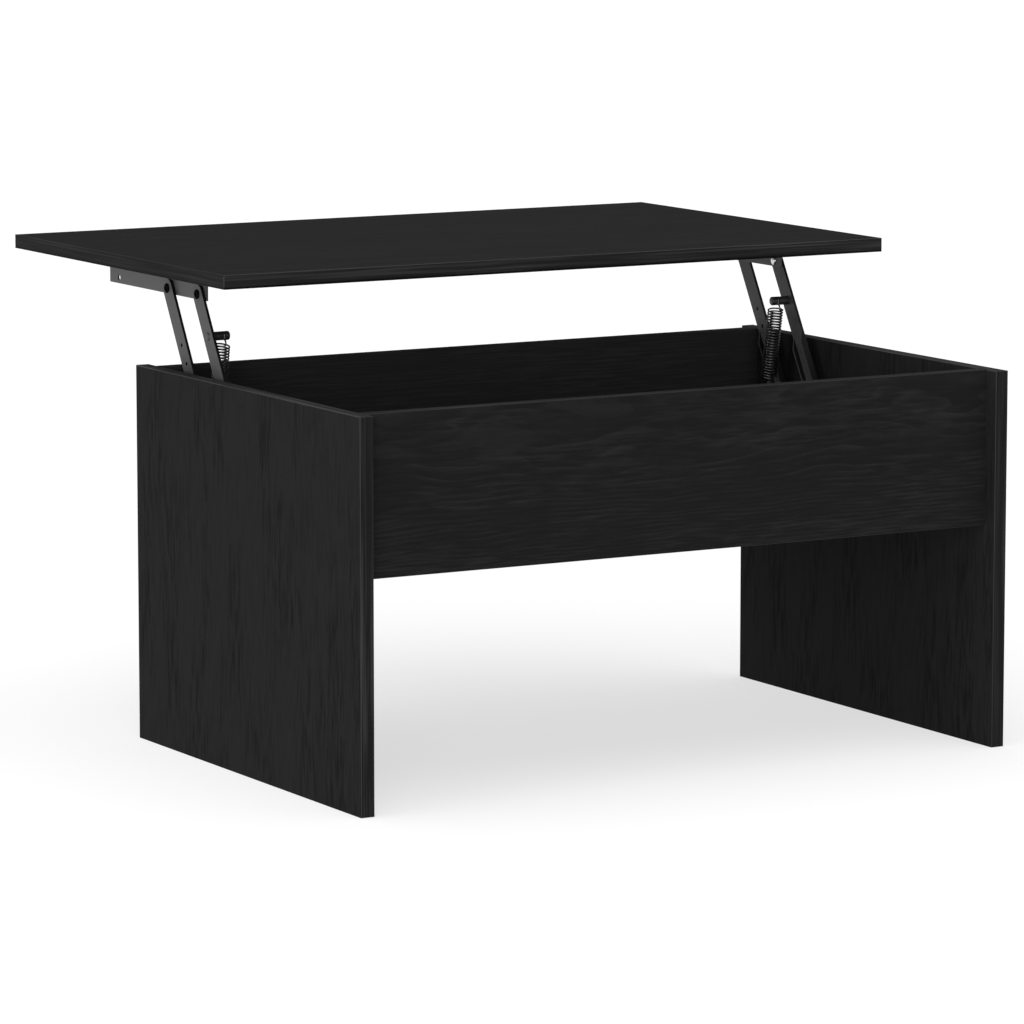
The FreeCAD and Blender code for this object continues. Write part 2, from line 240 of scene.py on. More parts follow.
def emboss(tree, shader, strength, depth, height):
    """Gives a surface a fine relief."""
    bump = add(tree, "ShaderNodeBump")
    bump.inputs["Strength"].default_value = strength
    bump.inputs["Distance"].default_value = depth
    feed(tree, bump.inputs["Height"], height)
    feed(tree, shader.inputs["Normal"], bump.outputs[0])


def make_oak_grain():
    """The printed oak: growth rings cut flat, fine streaks between them, and open pores."""
    tree = bpy.data.node_groups.new("oak_grain", "ShaderNodeTree")
    for name in ("Along", "Across", "Heart", "Arches", "Wander", "Shift"):
        tree.interface.new_socket(name, in_out="INPUT", socket_type="NodeSocketFloat")
    for name in ("Rings", "Streaks", "Pores"):
        tree.interface.new_socket(name, in_out="OUTPUT", socket_type="NodeSocketFloat")
    given = add(tree, "NodeGroupInput").outputs

    def noise(kind):
        return stretched_noise(tree, given["Along"], given["Across"], given["Shift"], kind)

    off_heart = maths(tree, "SUBTRACT", given["Across"], given["Heart"])
    crowding = maths(tree, "MULTIPLY", maths(tree, "MULTIPLY", off_heart, off_heart), RING_CROWDING)
    slope = maths(tree, "MULTIPLY", given["Along"], given["Arches"])
    bend = maths(tree, "MULTIPLY", maths(tree, "SUBTRACT", noise(WANDER_NOISE), 0.5), given["Wander"])
    ripple = maths(tree, "MULTIPLY", maths(tree, "SUBTRACT", noise(RIPPLE_NOISE), 0.5), RING_RIPPLE)
    count = maths(tree, "ADD", maths(tree, "ADD", crowding, slope), maths(tree, "ADD", bend, ripple))
    ring = maths(tree, "FRACT", count)
    fade = maths(tree, "POWER", maths(tree, "SUBTRACT", 1.0, ring), RING_FADE)
    whole = maths(tree, "MULTIPLY", fade, between(tree, ring, *RING_STEP))
    gaps = between(tree, noise(GAP_NOISE), *GAP_STEP)
    kept = maths(tree, "MULTIPLY_ADD", gaps, 1 - LINE_IN_GAP, LINE_IN_GAP)
    lines = maths(tree, "MULTIPLY", whole, kept)
    figure = between(tree, noise(PATCH_NOISE), *PATCH_STEP)
    flat_cut = maths(tree, "SUBTRACT", 1.0, between(tree, crowding, *FLAT_CUT_STEP))
    patches = maths(tree, "MULTIPLY", maths(tree, "MULTIPLY", figure, flat_cut), PATCH_STRENGTH)
    fibres = between(tree, noise(FIBRE_NOISE), *FIBRE_STEP)
    bundles = between(tree, noise(BUNDLE_NOISE), *BUNDLE_STEP)
    held = maths(tree, "MULTIPLY_ADD", bundles, 1 - FIBRE_OFF_BUNDLE, FIBRE_OFF_BUNDLE)
    result = add(tree, "NodeGroupOutput").inputs
    feed(tree, result["Rings"], maths(tree, "MAXIMUM", lines, patches))
    feed(tree, result["Streaks"], maths(tree, "MULTIPLY", fibres, held))
    feed(tree, result["Pores"], between(tree, noise(PORE_NOISE), *PORE_STEP))
    return tree


oak_grain = make_oak_grain()


def oak_decor(name, along, across, look, ground, figure):
    """Black oak paper on a board whose grain runs along one axis and spreads across another.
    Ground is the tone of the plain paper and figure that of the grain printed on it."""
    material, tree, shader = new_material(name, Specular_IOR_Level=PAPER_GLOSS)
    place = add(tree, "ShaderNodeSeparateXYZ")
    feed(tree, place.inputs[0], add(tree, "ShaderNodeTexCoord").outputs["Object"])
    grain = add(tree, "ShaderNodeGroup", node_tree=oak_grain)
    feed(tree, grain.inputs["Along"], maths(tree, "MULTIPLY", place.outputs[along], look["Shorter"]))
    feed(tree, grain.inputs["Across"], place.outputs[across])
    for socket in ("Heart", "Arches", "Wander", "Shift"):
        feed(tree, grain.inputs[socket], look[socket])
    rings = maths(tree, "MULTIPLY", grain.outputs["Rings"], look["Rings"])
    streaks = maths(tree, "MULTIPLY", grain.outputs["Streaks"], look["Streaks"])
    pores = maths(tree, "MULTIPLY", grain.outputs["Pores"], look["Pores"])
    share = maths(tree, "SUBTRACT", maths(tree, "ADD", rings, streaks), pores)
    feed(tree, shader.inputs["Base Color"], mix(tree, share, grey(ground), grey(figure)))
    feed(tree, shader.inputs["Roughness"],
         maths(tree, "MULTIPLY_ADD", share, FIGURE_SMOOTHER, PAPER_ROUGHNESS))
    sunk = maths(tree, "MULTIPLY_ADD", grain.outputs["Pores"], PORE_SINKS, 1.0)
    height = maths(tree, "MULTIPLY_ADD", streaks, STREAK_RISES, sunk)
    emboss(tree, shader, EMBOSS_STRENGTH, EMBOSS_DEPTH, height)
    return material


def coat(node, material):
    """Gives a CAD part its finish."""
    nodes[node].data.materials.clear()
    nodes[node].data.materials.append(material)


SIDE_LOOK = {"Heart": -0.31, "Arches": 1.0, "Wander": 6.0, "Shift": 4.7, "Shorter": 1.7,
             "Rings": 0.3, "Streaks": 0.7, "Pores": -0.15}
side_decor = oak_decor("side_board_decor", "Z", "Y", SIDE_LOOK, 0.0149, 0.0050)
for side, _ in SIDES:
    coat(f"{side}_side_panel", side_decor)


# ---- Edge bands of the sides ---------------------------------------------------------
# Strips of 1 mm plastic are glued to the front, back and top edges of each side.  Their
# outer corners are scraped round, and the plastic there is painted paler than the printed face,
# partly as scraped plastic and partly as a painted highlight.

BAND_ROUND = 0.8 * MM
BAND_ROUND_STEPS = 4
BAND_DARK = 0.0095
BAND_LIGHT = 0.0360
# Rounded corners: partly scraped plastic, partly a painted highlight.
BAND_CORNER_WEAR_AND_HIGHLIGHT = 0.036
# Painted shade on the lower edge of the tabletop's edging.
BAND_UNDER_PAINTED_SHADE = 0.003
BAND_UNDER_SHADE_FADE = (1.5 * MM, 4.0 * MM)
BAND_DRAWN_OUT = 0.4
BAND_FINER = 1.4
BAND_SHIFT = 2.3
BAND_GLOSS = 0.05
BAND_ROUGHNESS = 0.6
CORNER_SMOOTHER = -0.15
BAND_LINE_STRENGTH = 0.2
BAND_LINE_DEPTH = 0.1 * MM
WEAR_AND_HIGHLIGHT_STEP = (0.02, 0.2)
PLAIN_CREASE = 35.0


def make_edge_wear_and_highlight():
    """How far a surface turns away from the board's own flat faces: 1 on a rounded corner."""
    tree = bpy.data.node_groups.new("edge_wear_and_highlight", "ShaderNodeTree")
    tree.interface.new_socket("Facing", in_out="INPUT", socket_type="NodeSocketVector")
    tree.interface.new_socket("Corner", in_out="OUTPUT", socket_type="NodeSocketFloat")
    size = add(tree, "ShaderNodeVectorMath", operation="ABSOLUTE")
    feed(tree, size.inputs[0], add(tree, "NodeGroupInput").outputs["Facing"])
    parts = add(tree, "ShaderNodeSeparateXYZ")
    feed(tree, parts.inputs[0], size.outputs[0])
    two = maths(tree, "MAXIMUM", parts.outputs[0], parts.outputs[1])
    most = maths(tree, "MAXIMUM", two, parts.outputs[2])
    corner = between(tree, maths(tree, "SUBTRACT", 1.0, most), *WEAR_AND_HIGHLIGHT_STEP)
    feed(tree, add(tree, "NodeGroupOutput").inputs["Corner"], corner)
    return tree


edge_wear_and_highlight = make_edge_wear_and_highlight()


def edging_plastic(name, along, across, level, painted_shade_below=None):
    """Dark plastic strip, printed with fine lines along it and paler at its rounded corners, partly as
    scraped plastic and partly as a painted highlight.  Its level scales the whole tone as painted
    light or shade for the way the edge faces.  Given the height of its lower edge, that edge is
    painted nearly black as painted shade."""
    material, tree, shader = new_material(name, Specular_IOR_Level=BAND_GLOSS)
    where = add(tree, "ShaderNodeTexCoord")
    place = add(tree, "ShaderNodeSeparateXYZ")
    feed(tree, place.inputs[0], where.outputs["Object"])
    grain = add(tree, "ShaderNodeGroup", node_tree=oak_grain)
    feed(tree, grain.inputs["Along"], maths(tree, "MULTIPLY", place.outputs[along], BAND_DRAWN_OUT))
    feed(tree, grain.inputs["Across"], maths(tree, "MULTIPLY", place.outputs[across], BAND_FINER))
    feed(tree, grain.inputs["Shift"], BAND_SHIFT)
    wear = add(tree, "ShaderNodeGroup", node_tree=edge_wear_and_highlight)
    feed(tree, wear.inputs["Facing"], where.outputs["Normal"])
    lines, corner = grain.outputs["Streaks"], wear.outputs["Corner"]
    # Level brightens or darkens the whole strip: painted light or shade for the way each edge faces.
    colour = mix(tree, lines, grey(BAND_DARK * level), grey(BAND_LIGHT * level))
    # Paler rounded corners: partly scraped plastic, partly a painted highlight.
    colour = mix(tree, corner, colour, grey(BAND_CORNER_WEAR_AND_HIGHLIGHT * level))
    # Painted shade: the lower edge is painted nearly black.
    if painted_shade_below is not None:
        fade_from, fade_to = BAND_UNDER_SHADE_FADE
        clear_of_painted_shade = between(tree, place.outputs["Z"], painted_shade_below + fade_from, painted_shade_below + fade_to)
        colour = mix(tree, clear_of_painted_shade, grey(BAND_UNDER_PAINTED_SHADE), colour)
    feed(tree, shader.inputs["Base Color"], colour)
    feed(tree, shader.inputs["Roughness"],
         maths(tree, "MULTIPLY_ADD", corner, CORNER_SMOOTHER, BAND_ROUGHNESS))
    emboss(tree, shader, BAND_LINE_STRENGTH, BAND_LINE_DEPTH, lines)
    return material


def new_piece(shape, name, materials, body, crease=PLAIN_CREASE):
    """Turns a finished bmesh into a piece of the table that rides on a body."""
    mesh = bpy.data.meshes.new(name)
    shape.to_mesh(mesh)
    shape.free()
    for material in materials:
        mesh.materials.append(material)
    mesh.polygons.foreach_set("use_smooth", [True] * len(mesh.polygons))
    mesh.set_sharp_from_angle(angle=math.radians(crease))
    piece = bpy.data.objects.new(name, mesh)
    bpy.context.scene.collection.objects.link(piece)
    if body:
        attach(piece, body)
    return piece


def edging(node, name, outward, plastic, body, round_ends):
    """A strip the size of its CAD band, with the corners of its outer face rounded."""
    low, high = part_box(node)
    facing = Vector(outward)
    shape = bmesh.new()
    bmesh.ops.create_cube(shape, size=1.0)
    bmesh.ops.scale(shape, verts=shape.verts, vec=high - low)
    bmesh.ops.translate(shape, verts=shape.verts, vec=(low + high) / 2)
    shape.normal_update()
    outer = [face for face in shape.faces if face.normal.dot(facing) > 0.9][0]
    longest = max(edge.calc_length() for edge in outer.edges)
    corners = [edge for edge in outer.edges
               if round_ends or edge.calc_length() > longest / 2]
    bmesh.ops.bevel(shape, geom=corners, offset=BAND_ROUND, affect="EDGES",
                    segments=BAND_ROUND_STEPS, profile=0.5, material=-1)
    piece = new_piece(shape, name, [plastic], body)
    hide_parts(node)


# The levels paint light and shade: the sides' top edges brighter, their upright edges darker.
upright_plastic = edging_plastic("upright_edging_plastic", "Z", "X", 0.9)
depth_plastic = edging_plastic("depth_edging_plastic", "Y", "X", 1.6)
for side, _ in SIDES:
    for end, outward in (("front", (0, -1, 0)), ("back", (0, 1, 0))):
        edging(f"{side}_side_{end}_edge_band", f"{side}_side_{end}_edging", outward,
               upright_plastic, "carcass", True)
    edging(f"{side}_side_top_edge_band", f"{side}_side_top_edging", (0, 0, 1),
           depth_plastic, "carcass", False)


# ---- Front and back boards -----------------------------------------------------------
# The two long boards of the box are cut from the same decorated chipboard, with the grain
# along them.  The front shows the flat cut heart of the oak near its upper edge.

FRONT_LOOK = {"Heart": 0.395, "Arches": 1.2, "Wander": 5.5, "Shift": 1.3, "Shorter": 1.6,
              "Rings": 0.85, "Streaks": 0.55, "Pores": 0.15}
BACK_LOOK = {"Heart": 0.22, "Arches": -2.0, "Wander": 4.0, "Shift": 8.1, "Shorter": 1.0,
             "Rings": 0.5, "Streaks": 0.4, "Pores": 0.15}
# This level is painted light or shade set for the long boards' edges.
long_plastic = edging_plastic("long_edging_plastic", "X", "Y", 0.85)
# Same chipboard: the front's tones are painted darker as painted shade, the back's lighter as painted
# light on its inner face.
for board, look, dark, light in (("front", FRONT_LOOK, 0.0105, 0.0192),
                                 ("back", BACK_LOOK, 0.0175, 0.0330)):
    coat(f"{board}_panel", oak_decor(f"{board}_board_decor", "X", "Z", look, dark, light))
    for edge, outward in (("top", (0, 0, 1)), ("bottom", (0, 0, -1))):
        edging(f"{board}_panel_{edge}_edge_band", f"{board}_panel_{edge}_edging", outward,
               long_plastic, "carcass", False)


# ---- Bottom board --------------------------------------------------------------------
# The floor of the storage box lies between the four boards, decorated on both faces.

BOTTOM_LOOK = {"Heart": -0.1, "Arches": 2.5, "Wander": 4.0, "Shift": 6.2, "Shorter": 1.0,
               "Rings": 0.5, "Streaks": 0.4, "Pores": 0.15}
coat("bottom_panel", oak_decor("bottom_board_decor", "X", "Y", BOTTOM_LOOK, 0.0125, 0.0235))


# ---- Fittings that hold the boards together ------------------------------------------
# Cast zinc cams sit in the boards' inner faces and pull on steel bolts in the sides.
# Fluted beech dowels between them keep the boards level.

GRIT_STEP = (0.3, 0.7)
GRIT_DETAIL = 2.0
CLOUD_COARSER = 0.06
GRIT_SHARE = 0.4
GRIT_STRENGTH = 0.4


def make_speckle():
    """Fine even grit, as on cast, plated, moulded or powder coated surfaces."""
    tree = bpy.data.node_groups.new("speckle", "ShaderNodeTree")
    tree.interface.new_socket("Place", in_out="INPUT", socket_type="NodeSocketVector")
    tree.interface.new_socket("Per Metre", in_out="INPUT", socket_type="NodeSocketFloat")
    for name in ("Grit", "Cloud"):
        tree.interface.new_socket(name, in_out="OUTPUT", socket_type="NodeSocketFloat")
    given = add(tree, "NodeGroupInput").outputs
    result = add(tree, "NodeGroupOutput").inputs
    for name, coarser in (("Grit", 1.0), ("Cloud", CLOUD_COARSER)):
        noise = add(tree, "ShaderNodeTexNoise")
        feed(tree, noise.inputs["Vector"], given["Place"])
        feed(tree, noise.inputs["Scale"], maths(tree, "MULTIPLY", given["Per Metre"], coarser))
        noise.inputs["Detail"].default_value = GRIT_DETAIL
        feed(tree, result[name], between(tree, noise.outputs[0], *GRIT_STEP))
    return tree


speckle = make_speckle()


def gritty(name, dark, light, smooth, rough, per_metre, relief, **plain):
    """A metal or plastic whose tone and gloss drift a little, over a fine bump."""
    material, tree, shader = new_material(name, **plain)
    grit = add(tree, "ShaderNodeGroup", node_tree=speckle)
    feed(tree, grit.inputs["Place"], add(tree, "ShaderNodeTexCoord").outputs["Object"])
    grit.inputs["Per Metre"].default_value = per_metre
    share = maths(tree, "MULTIPLY_ADD", grit.outputs["Grit"], GRIT_SHARE,
                  maths(tree, "MULTIPLY", grit.outputs["Cloud"], 1 - GRIT_SHARE))
    feed(tree, shader.inputs["Base Color"], mix(tree, share, dark, light))
    feed(tree, shader.inputs["Roughness"], maths(tree, "MULTIPLY_ADD", share, rough - smooth, smooth))
    emboss(tree, shader, GRIT_STRENGTH, relief, grit.outputs["Grit"])
    return material


cast_zinc = gritty("cast_zinc", grey(0.30), grey(0.45), 0.35, 0.5, 2500, 0.05 * MM, Metallic=1.0)
bolt_steel = gritty("zinc_plated_bolt", grey(0.45), grey(0.6), 0.25, 0.4, 4000, 0.02 * MM,
                    Metallic=1.0)
beech = gritty("beech_dowel", (0.42, 0.27, 0.15, 1), (0.55, 0.37, 0.21, 1), 0.6, 0.75, 1800,
               0.1 * MM, Specular_IOR_Level=0.3)
for node in ("front_panel_cam_nuts", "back_panel_cam_nuts", "bottom_cam_nuts"):
    coat(node, cast_zinc)
for side, _ in SIDES:
    coat(f"{side}_cam_bolts", bolt_steel)
    coat(f"{side}_dowels", beech)


# ---- Base channels -------------------------------------------------------------------
# A tray pressed from 2 mm steel is screwed flat to each side board and carries the arms.
# It has a thin satin powder coat in dark grey, painted a little paler than on the arms as painted
# light.

# Painted light: paler than the arms' tones, to lift the channel's shaded web.
CHANNEL_PAINTED_LIGHT_TONES = (0.075, 0.105)
COAT_SMOOTH = 0.42
COAT_ROUGH = 0.55
COAT_GRIT = 1400
COAT_RELIEF = 0.06 * MM
WELD_GAP = 0.01 * MM
SAME_FACE_ANGLE = 1.0
SHARP_ANGLE = 50.0
SOFT_STEPS = 2
FACE_WEIGHT = 100
SOFT_EDGE = 0.4 * MM


def powder(name, tones, gloss):
    """Satin powder coat on steel, between a dark and a light tone."""
    dark, light = tones
    return gritty(name, grey(dark), grey(light), COAT_SMOOTH, COAT_ROUGH, COAT_GRIT, COAT_RELIEF,
                  Specular_IOR_Level=gloss)


def soften(node, width):
    """Joins a CAD part's faces and rounds its sharp edges a little, as the coat does."""
    weld = nodes[node].modifiers.new("weld", "WELD")
    weld.merge_threshold = WELD_GAP
    flat = nodes[node].modifiers.new("whole_faces", "DECIMATE")
    flat.decimate_type = "DISSOLVE"
    flat.angle_limit = math.radians(SAME_FACE_ANGLE)
    edge = nodes[node].modifiers.new("round_edges", "BEVEL")
    edge.width = width
    edge.segments = SOFT_STEPS
    edge.limit_method = "ANGLE"
    edge.angle_limit = math.radians(SHARP_ANGLE)
    nodes[node].modifiers.new("even_faces", "WEIGHTED_NORMAL").weight = FACE_WEIGHT


channel_coat_painted_light = powder("channel_powder_coat_painted_light", CHANNEL_PAINTED_LIGHT_TONES, 0.3)
for side, _ in SIDES:
    coat(f"{side}_base_channel", channel_coat_painted_light)
    soften(f"{side}_base_channel", SOFT_EDGE)


# ---- Channel screws ------------------------------------------------------------------
# Four pan head wood screws with a cross recess hold each channel, plated a dull grey.

SCREW_R = 1.7 * MM
HEAD_R = 3.6 * MM
HEAD_TALL = 2.0 * MM
RECESS_DEEP = 0.9 * MM
RECESS_REACH = 0.6 * HEAD_R
RECESS_HALF_ANGLE = 20
THREADS = 7
THREAD_ROOT = 0.72 * SCREW_R
THREAD_CREST = (0.45 * MM, 0.7 * MM)
SCREW_SIDES = 16
FINE_CREASE = 25.0
CHANNEL_SHEET = 2.0 * MM
SCREW_LONG = 11.0 * MM
TAB_MIDDLE = 7.5 * MM
SCREW_HEIGHTS = (0.313, 0.331)
screw_plate = gritty("screw_plate", grey(0.25), grey(0.38), 0.3, 0.45, 4000, 0.02 * MM,
                     Metallic=1.0)


def turn(shape, outline, steps):
    """Spins an outline of (height, radius) points about Z into a closed solid."""
    spots = [shape.verts.new((radius, 0, height)) for height, radius in outline]
    chain = [shape.edges.new(pair) for pair in zip(spots, spots[1:])]
    bmesh.ops.spin(shape, geom=spots + chain, cent=(0, 0, 0), axis=(0, 0, 1),
                   angle=2 * math.pi, steps=steps, use_merge=True)
    bmesh.ops.remove_doubles(shape, verts=shape.verts, dist=0.001 * MM)
    bmesh.ops.recalc_face_normals(shape, faces=shape.faces)


def screw_shape(length):
    """A pan head screw along Z, its head above and its point at -length."""
    shape = bmesh.new()
    outline = [(HEAD_TALL, 0), (HEAD_TALL, 0.35 * HEAD_R), (0.95 * HEAD_TALL, 0.62 * HEAD_R),
               (0.75 * HEAD_TALL, 0.84 * HEAD_R), (0.4 * HEAD_TALL, 0.97 * HEAD_R),
               (0.1 * HEAD_TALL, HEAD_R), (0, 0.98 * HEAD_R), (0, SCREW_R)]
    crest_from, crest_to = THREAD_CREST
    for thread in range(THREADS):
        top = -length * (thread + 0.4) / (THREADS + 1.2)
        outline += [(top, THREAD_ROOT), (top - crest_from, SCREW_R), (top - crest_to, SCREW_R)]
    outline += [(-0.93 * length, 0.6 * SCREW_R), (-length, 0)]
    turn(shape, outline, SCREW_SIDES)
    recess = []
    for face in shape.faces:
        middle = face.calc_center_median()
        quarter = math.degrees(math.atan2(middle.y, middle.x)) % 90
        near = math.hypot(middle.x, middle.y) < RECESS_REACH
        in_arm = quarter < RECESS_HALF_ANGLE or quarter > 90 - RECESS_HALF_ANGLE
        if middle.z > 0.9 * HEAD_TALL and near and in_arm:
            recess.append(face)
    sunk = bmesh.ops.extrude_face_region(shape, geom=recess)["geom"]
    bmesh.ops.delete(shape, geom=recess, context="FACES")
    bmesh.ops.translate(shape, verts=[v for v in sunk if isinstance(v, bmesh.types.BMVert)],
                        vec=(0, 0, -RECESS_DEEP))
    bmesh.ops.recalc_face_normals(shape, faces=shape.faces)
    return shape


def gather(shapes, places):
    """Puts each shape at its place and joins them into one."""
    whole = bmesh.new()
    for shape, place in zip(shapes, places):
        bmesh.ops.transform(shape, matrix=place, verts=shape.verts)
        part = bpy.data.meshes.new("part")
        shape.to_mesh(part)
        shape.free()
        whole.from_mesh(part)
        bpy.data.meshes.remove(part)
    return whole


def aim(direction, place):
    """The matrix that turns the Z axis to a direction and moves it to a place."""
    turned = Vector(direction).to_track_quat("Z", "Y").to_matrix().to_4x4()
    return Matrix.Translation(place) @ turned


for side, sign in SIDES:
    low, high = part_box(f"{side}_base_channel")
    panel_face = high.x if sign > 0 else low.x
    seat = panel_face - sign * CHANNEL_SHEET
    places = [aim((-sign, 0, 0), (seat, y, z))
              for y in (low.y + TAB_MIDDLE, high.y - TAB_MIDDLE) for z in SCREW_HEIGHTS]
    shape = gather([screw_shape(SCREW_LONG) for place in places], places)
    piece = new_piece(shape, f"{side}_channel_pan_screws", [screw_plate], "carcass",
                      FINE_CREASE)
    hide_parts(f"{side}_channel_screws")


# ---- Arms ----------------------------------------------------------------------------
# Each side has two flat bars of 3 mm steel with round ends and turned in edges below.
# They are powder coated, and their thin edges are painted near black as painted shade.

STEEL_TONES = (0.040, 0.062)
# Painted shade: the arms' thin edges get this near black tone.
EDGE_PAINTED_SHADE = 0.003
EDGE_SHADE_STEP = (0.35, 0.8)
FINE_EDGE = 0.35 * MM


def paint_edge_shade(material):
    """Paints shade on a flat part: every face that doesn't look along X is painted near black."""
    tree = material.node_tree
    colour = tree.nodes["Principled BSDF"].inputs["Base Color"]
    coat_colour = colour.links[0].from_socket
    parts = add(tree, "ShaderNodeSeparateXYZ")
    feed(tree, parts.inputs[0], add(tree, "ShaderNodeTexCoord").outputs["Normal"])
    flat = between(tree, maths(tree, "ABSOLUTE", parts.outputs[0]), *EDGE_SHADE_STEP)
    feed(tree, colour, mix(tree, flat, grey(EDGE_PAINTED_SHADE), coat_colour))
    return material


arm_coat_with_edge_shade = paint_edge_shade(powder("arm_powder_coat_edge_shade", STEEL_TONES, 0.25))
for side, _ in SIDES:
    for place in ("rear", "front"):
        coat(f"{side}_{place}_arm", arm_coat_with_edge_shade)
        soften(f"{side}_{place}_arm", FINE_EDGE)


# ---- Rivets that the arms turn on ----------------------------------------------------
# Semi tubular steel rivets: a bright domed head on the inner side, and outside a rolled
# tail with a hollow middle, blackened.  Nylon washers lie between the moving plates.

RIVET_R = 3.0 * MM
DOME_R = 5.1 * MM
DOME_TALL = 1.9 * MM
TAIL_R = 5.2 * MM
TAIL_TALL = 1.6 * MM
CAD_HEAD = 2.0 * MM
CAD_TAIL = 1.7 * MM
DOME_STEPS = 7
RIVET_SIDES = 32
bright_zinc = gritty("bright_zinc", grey(0.55), grey(0.75), 0.22, 0.34, 5000, 0.01 * MM,
                     Metallic=1.0)
black_oxide = gritty("black_oxide", grey(0.0015), grey(0.004), 0.7, 0.85, 3000, 0.03 * MM,
                     Specular_IOR_Level=0.01)


def rivet_shape(grip):
    """A rivet along Z: its tail above the grip, its domed head below zero."""
    shape = bmesh.new()
    angles = [step * math.pi / (2 * DOME_STEPS) for step in range(DOME_STEPS + 1)]
    dome = [(-DOME_TALL * math.cos(angle), DOME_R * math.sin(angle)) for angle in angles]
    tail = [(grip, 0.96 * TAIL_R), (grip + 0.25 * TAIL_TALL, TAIL_R),
            (grip + 0.6 * TAIL_TALL, 0.95 * TAIL_R), (grip + 0.9 * TAIL_TALL, 0.8 * TAIL_R),
            (grip + TAIL_TALL, 0.55 * TAIL_R), (grip + 0.9 * TAIL_TALL, 0.38 * TAIL_R),
            (grip + 0.5 * TAIL_TALL, 0.3 * TAIL_R), (grip - 0.5 * TAIL_TALL, 0.28 * TAIL_R),
            (grip - 0.5 * TAIL_TALL, 0)]
    turn(shape, dome + [(0, RIVET_R), (grip, RIVET_R)] + tail, RIVET_SIDES)
    for face in shape.faces:
        face.material_index = 1 if face.calc_center_median().z > grip / 2 else 0
    return shape


for level, body in (("lower", "carcass"), ("upper", "top")):
    for side, sign in SIDES:
        for place in ("rear", "front"):
            node = f"{side}_{place}_{level}_pivot"
            low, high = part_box(node)
            middle = (low + high) / 2
            inner = (low.x if sign > 0 else high.x) + sign * CAD_HEAD
            grip = (high.x - low.x) - CAD_HEAD - CAD_TAIL
            shape = gather([rivet_shape(grip)], [aim((sign, 0, 0), (inner, middle.y, middle.z))])
            piece = new_piece(shape, f"{side}_{place}_{level}_rivet", [bright_zinc, black_oxide],
                              body)
            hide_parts(node)

nylon = gritty("black_nylon", grey(0.012), grey(0.02), 0.4, 0.55, 3000, 0.02 * MM,
               Specular_IOR_Level=0.4)
coat("lower_washers", nylon)
coat("upper_washers", nylon)


# ---- Stop studs ----------------------------------------------------------------------
# A short blackened steel stud stands on each channel.  The rear arm rests against it when
# raised.

for side, _ in SIDES:
    coat(f"{side}_stop_stud", black_oxide)
    soften(f"{side}_stop_stud", SOFT_EDGE)


# ---- Spring posts and anchors --------------------------------------------------------
# Black steel studs with a ridged body, riveted into the front arm and into the channel.
# A groove near the free end holds the spring's hook, and the tip is slightly domed.

POST_TIP = 334.0 * MM
SPRING_LINE = 341.2 * MM
POST_R = 4.7 * MM
GROOVE_R = 3.0 * MM
ARM_INNER = 355.5 * MM
CHANNEL_WEB = 359.4 * MM
ARM_SHEET = 3.0 * MM
COLLAR_R = 1.07 * POST_R
RIDGE_PITCH = 1.7 * MM
STUD_SIDES = 28
black_stud = gritty("black_stud_steel", grey(0.008), grey(0.02), 0.3, 0.42, 2500, 0.03 * MM,
                    Specular_IOR_Level=0.5)


def stud_shape(seat, far):
    """A hook stud along Z, measured from the table's middle: tip, groove, ridges, collar, tail."""
    outline = [(POST_TIP, 0), (POST_TIP + 0.1 * MM, 0.5 * POST_R),
               (POST_TIP + 0.5 * MM, 0.86 * POST_R), (POST_TIP + 1.2 * MM, POST_R),
               (POST_TIP + 4.0 * MM, 1.03 * POST_R),
               (SPRING_LINE - 1.7 * MM, POST_R), (SPRING_LINE - 1.4 * MM, 0.9 * POST_R),
               (SPRING_LINE - 1.2 * MM, 1.03 * GROOVE_R), (SPRING_LINE, GROOVE_R),
               (SPRING_LINE + 1.2 * MM, 1.03 * GROOVE_R), (SPRING_LINE + 1.4 * MM, 0.9 * POST_R),
               (SPRING_LINE + 1.7 * MM, POST_R)]
    ridge = SPRING_LINE + 2.6 * MM
    while ridge < seat - 3.0 * MM:
        outline += [(ridge, POST_R), (ridge + 0.35 * MM, 0.88 * POST_R), (ridge + 0.8 * MM, POST_R)]
        ridge += RIDGE_PITCH
    outline += [(seat - 1.7 * MM, POST_R), (seat - 1.5 * MM, COLLAR_R), (seat, COLLAR_R),
                (seat, RIVET_R), (far, RIVET_R), (far, 0.95 * POST_R),
                (far + 0.7 * MM, 0.85 * POST_R), (far + 0.95 * MM, 0.5 * POST_R),
                (far + 0.95 * MM, 0)]
    shape = bmesh.new()
    turn(shape, outline, STUD_SIDES)
    return shape


STUDS = (("spring_post", "hook_post", "front_arms", ARM_INNER, ARM_SHEET),
         ("spring_anchor", "hook_anchor", "carcass", CHANNEL_WEB, CHANNEL_SHEET))
for side, sign in SIDES:
    for cad_name, name, body, seat, plate in STUDS:
        node = f"{side}_{cad_name}"
        low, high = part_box(node)
        middle = (low + high) / 2
        place = aim((sign, 0, 0), (0, middle.y, middle.z))
        shape = gather([stud_shape(seat, seat + plate)], [place])
        piece = new_piece(shape, f"{side}_{name}", [black_stud], body, FINE_CREASE)
        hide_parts(node)


# ---- Springs -------------------------------------------------------------------------
# Each spring is one length of 1.8 mm wire: an eye in the post's groove, an offset shank,
# 25 open turns, and a longer shank to the eye on the channel's anchor.  Dark and oiled.

WIRE_R = 0.9 * MM
COIL_R = 7.9 * MM
EYE_R = 3.95 * MM
OFFSET_BEND = 4.0 * MM
TURN_IN = 2.5 * MM
COIL_FROM = 8.5 * MM
COIL_TO = 88.0 * MM
TURNS = 25
STEPS_A_TURN = 26
WIRE_SIDES = 10
EYE_ANGLE = 300
EYE_STEPS = 26
BEND_STEPS = 6
TURN_IN_STEPS = 7
WIRE_CREASE = 60.0
spring_wire = gritty("oiled_spring_wire", grey(0.075), grey(0.125), 0.30, 0.40, 3000, 0.01 * MM,
                     Metallic=1.0)


